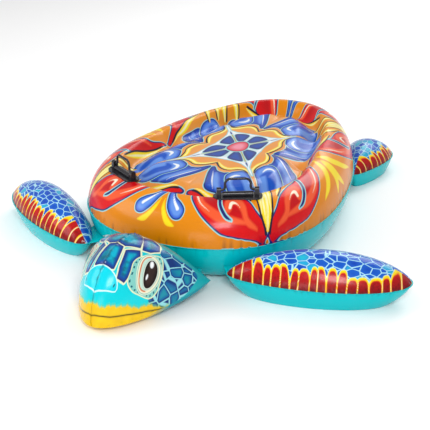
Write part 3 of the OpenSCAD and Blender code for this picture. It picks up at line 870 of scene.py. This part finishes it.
def head_print():
    """Scutes, cells, beak and eye over a teal ground."""
    p = Paint("head_print", AQUA)
    back = p.math("SUBTRACT", 1.0, p.step(p.field("length"), 0.62, 0.30))
    p.colour = p.mix(back, p.colour, srgb(22, 164, 172))
    p.over("scute", 5.5 * MM, srgb(232, 238, 200))
    cloud = p.noise(24.0, 3.0)
    inside = p.mix(p.step(cloud, 0.5, 0.08), srgb(0, 176, 204), srgb(4, 108, 132))
    p.over("scute", 0, srgb(38, 40, 112))
    p.over("scute", -5 * MM, srgb(10, 78, 160), 4 * MM)
    p.colour = p.mix(p.step(p.field("scute"), -15 * MM, 5 * MM), p.colour, inside)
    p.over("snout", 2.4 * MM, srgb(220, 250, 250))
    p.over("snout", -0.6 * MM, srgb(0, 216, 232))
    p.over("nostril", 0, srgb(8, 90, 104), 1.5 * MM)
    # Small cells behind the eye, drawn only inside their patch.
    rim = p.node("ShaderNodeTexVoronoi", Vector=p.vector("flat"), Scale=27.0, Randomness=0.62)
    rim.feature = "DISTANCE_TO_EDGE"
    edge = rim.outputs["Distance"]
    scale = p.mix(p.step(edge, 0.22, 0.10), srgb(6, 146, 168), srgb(4, 84, 156))
    scale = p.mix(p.step(edge, 0.120, 0.03), scale, srgb(6, 50, 120))
    scale = p.mix(p.step(edge, 0.044, 0.012), scale, srgb(150, 222, 230))
    p.colour = p.mix(p.step(p.field("patch"), 0, 1.2 * MM), p.colour, scale)
    yellow = p.mix(p.noise(30.0, 2.0), srgb(255, 214, 20), srgb(226, 178, 10))
    p.over("yellow_edge", 7 * MM, srgb(120, 196, 70), 6 * MM, strength=0.6)
    p.colour = p.mix(p.step(p.field("yellow_edge"), 1 * MM, 4 * MM), p.colour, yellow)
    p.over("mouth", 1.6 * MM, srgb(150, 124, 10), 3.0 * MM)
    p.over("mouth", 0, srgb(52, 50, 16))
    # The eye: a socket with dots, cream and teal rings, an orange crescent and a glossy dark oval.
    p.over("socket", 3.0 * MM, srgb(240, 240, 186))
    p.over("socket", 0, srgb(132, 206, 196))
    spoke = p.math("SINE", p.math("MULTIPLY", p.field("eye_turn"), math.pi * 26))
    dots = p.math("MULTIPLY", p.math("GREATER_THAN", spoke, 0.35),
                  p.step(p.math("ABSOLUTE", p.math("ADD", p.field("socket"), 6 * MM)), 2.6 * MM, 0.6 * MM))
    p.colour = p.mix(dots, p.colour, srgb(16, 92, 110))
    p.over("rings", 6 * MM, srgb(226, 238, 214))
    p.over("rings", 3.4 * MM, srgb(120, 192, 180))
    p.over("rings", 1.0 * MM, srgb(240, 236, 206))
    p.over("crescent", 0, srgb(214, 104, 44), 1.2 * MM)
    p.over("rings", -8 * MM, srgb(196, 228, 212), 1.5 * MM)
    p.over("eye", 4.5 * MM, srgb(160, 196, 184))
    p.over("eye", 2.4 * MM, srgb(230, 238, 222))
    p.over("eye", 0, srgb(22, 14, 14))
    p.over("eye", -9 * MM, srgb(52, 36, 32), 7 * MM)
    p.over("glint", 0, WHITE, 2.2 * MM)
    return p.pleated(0.4).finish(rough=0.17)


def cheek_grid(side, rows, turns):
    """One side of the head, from the seam with the jaw up to the weld along the crown."""
    s = head_steps(rows)
    a = np.linspace(0, math.pi / 2, turns)
    grid_s, grid_a = np.meshgrid(s, a, indexing="ij")
    x, y, z = head_point(grid_s, grid_a)
    co = np.stack([x, y + 0 * x, z], -1)
    crown = GIRTH * (math.pi / 2 - grid_a)
    # The welded seam over the head draws in a shallow groove with small cross gathers.
    groove = 0.0030 * np.exp(-(crown / 0.006) ** 2)
    line = grid_s * HEAD_LONG
    groove = groove + puckers(line, crown, HEAD_LONG, 0.024, 0.0030, 0.020, 0.0045)
    low = GIRTH * grid_a
    groove = groove + puckers(line, low, HEAD_LONG, 0.030, 0.0022, 0.022, 0.0055) * (grid_a > 0)
    brow = 0.007 * np.exp(-(((grid_s - 0.47) / 0.13) ** 2 + ((np.degrees(grid_a) - 60) / 10) ** 2))
    normal = grid_normals(co, False)
    co = co - normal * (groove - brow)[..., None]
    co[:, -1, 0] = 0.0
    co[..., 0] *= side
    return co, grid_s, grid_a, groove


def jaw_grid(rows, turns):
    """The head's flat-bottomed lower sheet."""
    s = head_steps(rows)
    a = np.linspace(0, math.pi, turns)
    grid_s, grid_a = np.meshgrid(s, a, indexing="ij")
    half = HEAD_HALF * grid_s ** 0.55
    seam = NOSE_Z + (NECK_Z - NOSE_Z) * grid_s ** 2
    drop = seam * np.minimum(1.02, (4 * grid_s * (1 - grid_s)) ** 0.4 * 1.06)
    x = half * np.cos(grid_a)
    z = np.maximum(0.0005, seam - drop * np.maximum(0, np.sin(grid_a)) ** 0.7)
    y = HEAD_REAR - HEAD_LONG * (1 - grid_s)
    return np.stack([x, y, z], -1), grid_s, grid_a


def make_head():
    """The three sheets of the head."""
    printed = head_print()
    for side, name in ((1, "left"), (-1, "right")):
        co, s, a, deep = cheek_grid(side, *CHEEK_GRID)
        faces = grid_faces(*CHEEK_GRID, False)
        faces = faces if side > 0 else faces[:, ::-1]
        skin = mesh_piece(f"head_{name}_skin", co, faces, printed, head_fields(s, a, co, deep))
        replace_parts(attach(skin, "head"), f"head_{name}_panel")
    co, s, _ = jaw_grid(*JAW_GRID)
    p = Paint("jaw_print", DEEP)
    yellow = p.mix(p.noise(30.0, 2.0), srgb(255, 214, 20), srgb(232, 184, 12))
    p.colour = p.mix(p.step(p.field("length"), 0.45, 0.10), p.colour, yellow)
    skin = mesh_piece("head_base_skin", co, grid_faces(*JAW_GRID, False), p.finish(), {"length": s.ravel()})
    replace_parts(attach(skin, "head"), "head_base_panel")


# ---------------- handles, valves and inner webs

def black_vinyl():
    """Moulded black vinyl of the handles."""
    p = Paint("black_vinyl", srgb(24, 23, 27))
    p.tint(p.noise(40.0, 3.0), 0.5, srgb(52, 50, 58))
    return p.finish(rough=0.22, coat=0.4, grain=0.0003, wobble=0.0004)


def valve_vinyl():
    """Milky soft vinyl of the valves."""
    p = Paint("valve_vinyl", srgb(206, 224, 226))
    p.shader.inputs["Transmission Weight"].default_value = 0.35
    return p.finish(rough=0.28, coat=0.4)


def web_vinyl():
    """Clear sheet of the inner webs."""
    p = Paint("clear_vinyl", srgb(222, 232, 232))
    p.shader.inputs["Transmission Weight"].default_value = 0.7
    return p.finish(rough=0.25, coat=0.3)


def make_small_parts():
    """Materials for the solids that are shown as they are in CAD."""
    black, milky, clear = black_vinyl(), valve_vinyl(), web_vinyl()
    for name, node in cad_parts.items():
        if "_handle_" in name:
            chosen = black
        elif "_valve_" in name:
            chosen = milky
        elif "_web_" in name:
            chosen = clear
        else:
            continue
        node.data.materials.clear()
        node.data.materials.append(chosen)


# ---------------- welded flanges across the joints

FLAP_HALF_THICK = 0.0008
FLAP_INSET = 0.016


def flange(name, near, far, height):
    """A thin welded flap from a limb's seam to the shell's skin, blended over the hinge."""
    near, far = np.array(near), np.array(far)
    rows, cols = 14, 40
    u = np.linspace(0, 1, rows)[:, None, None]
    k = np.linspace(0, 1, cols)
    side_a = np.stack([np.interp(k, np.linspace(0, 1, len(near)), near[:, i]) for i in (0, 1)], 1)
    side_b = np.stack([np.interp(k, np.linspace(0, 1, len(far)), far[:, i]) for i in (0, 1)], 1)
    xy = side_a[None] * (1 - u) + side_b[None] * u
    wave = 0.0016 * np.sin(np.arange(cols) * 1.1)[None] * np.sin(np.pi * u[..., 0])
    z = np.broadcast_to(height + wave, xy.shape[:2])
    upper = np.concatenate([xy, z[..., None] + FLAP_HALF_THICK], -1)
    lower = np.concatenate([xy, z[..., None] - FLAP_HALF_THICK], -1)
    co = np.concatenate([upper.reshape(-1, 3), lower.reshape(-1, 3)])
    quads = grid_faces(rows, cols, False)
    n = rows * cols
    rim = list(range(cols)) + [i * cols + cols - 1 for i in range(1, rows)]
    rim += [(rows - 1) * cols + j for j in range(cols - 2, -1, -1)]
    rim += [i * cols for i in range(rows - 2, 0, -1)]
    sides = [[i, j, n + j, n + i] for i, j in zip(rim, rim[1:] + rim[:1])]
    faces = quads[:, ::-1].tolist() + (quads + n).tolist() + sides
    piece = mesh_piece(name + "_weld_flap", co, faces, TEAL_VINYL)
    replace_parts(piece, name)
    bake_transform(piece)


def flange_side(turns, inset):
    """A line just inside the shell's outline, at the given angles in degrees."""
    edge = shell_edge(np.radians(np.array(turns, float)))
    return edge * (1 - inset / np.hypot(*edge.T))[:, None]


def make_flanges():
    """A flap from each limb to the shell."""
    for name, f in FLIPPERS.items():
        big = name.startswith("front")
        turns = np.radians(np.linspace(128, 182, 7) if big else np.linspace(152, 188, 5))
        grown = dict(f, half=(f["half"][0] + 0.001, f["half"][1] + 0.001))
        near = np.stack(placed(grown, *pad_plan(grown, np.ones(len(turns)), turns)), 1)
        far = flange_side(np.linspace(-51, -66, 4) if big else np.linspace(35, 27, 3), FLAP_INSET)
        far[:, 0] *= f["side"]
        way = near.mean(0) - far.mean(0)
        way /= np.hypot(*way)
        flange(name + "_flipper_flange", near, far, f["seam"])
    near = [(-0.196, HEAD_REAR), (0.196, HEAD_REAR)]
    far = flange_side(np.linspace(-106, -74, 9), FLAP_INSET)
    flange("neck_flange", near, far, NECK_Z)


# ---------------- camera, light and floor

CAMERA_AT = (1.5962, -3.4639, 1.6873)
CAMERA_TO = (0.0851, -0.3927, 0.1410)
LENS = 82.7
# Name, place, size and power of each soft lamp, all aimed at the same point.
LAMPS = [("key", (1.9, -3.4, 2.6), 1.1, 70), ("fill", (-2.8, -2.4, 2.2), 2.2, 55),
         ("back", (0.4, 3.8, 3.4), 3.0, 110), ("low", (1.0, -4.6, 0.5), 1.6, 22)]
LAMPS_TO = (0, -0.2, 0.15)
WORLD_STRENGTH = 0.62
FLOOR_REACH = 9.0


def aim(obj, target):
    """Turns a camera or lamp to look at a point."""
    way = np.array(target) - np.array(obj.location)
    obj.rotation_euler = Vector(way).to_track_quat("-Z", "Y").to_euler()


def make_studio():
    """Camera, white world, soft lamps and pale floor."""
    scene = bpy.context.scene
    camera = bpy.data.objects.new("camera", bpy.data.cameras.new("camera"))
    camera.location = CAMERA_AT
    camera.data.lens = LENS
    camera.data.sensor_width = 36.0
    aim(camera, CAMERA_TO)
    scene.collection.objects.link(camera)
    scene.camera = camera
    scene.view_settings.view_transform = "Standard"
    world = bpy.data.worlds.new("studio")
    world.use_nodes = True
    world.node_tree.nodes["Background"].inputs["Color"].default_value = (1, 1, 1, 1)
    world.node_tree.nodes["Background"].inputs["Strength"].default_value = WORLD_STRENGTH
    scene.world = world
    for name, at, size, power in LAMPS:
        data = bpy.data.lights.new(name, "AREA")
        data.size = size
        data.energy = power
        lamp = bpy.data.objects.new(name, data)
        lamp.location = at
        aim(lamp, LAMPS_TO)
        scene.collection.objects.link(lamp)
    corners = np.array([[-1, -1, 0], [1, -1, 0], [1, 1, 0], [-1, 1, 0]]) * FLOOR_REACH
    floor = mesh_piece("floor", corners, [[0, 1, 2, 3]], floor_paint())


def floor_paint():
    """Matt near-white floor."""
    material = bpy.data.materials.new("pale_floor")
    material.use_nodes = True
    shader = material.node_tree.nodes["Principled BSDF"]
    shader.inputs["Base Color"].default_value = (0.97, 0.97, 0.97, 1)
    shader.inputs["Roughness"].default_value = 0.85
    return material


TEAL_VINYL = plain_vinyl("teal_vinyl", srgb(0, 204, 210), srgb(0, 176, 186))
make_studio()
make_shell()
PRINTED = flipper_print()
for flipper_name, flipper in FLIPPERS.items():
    make_flipper(flipper_name, flipper, PRINTED)
make_head()
make_small_parts()
make_flanges()
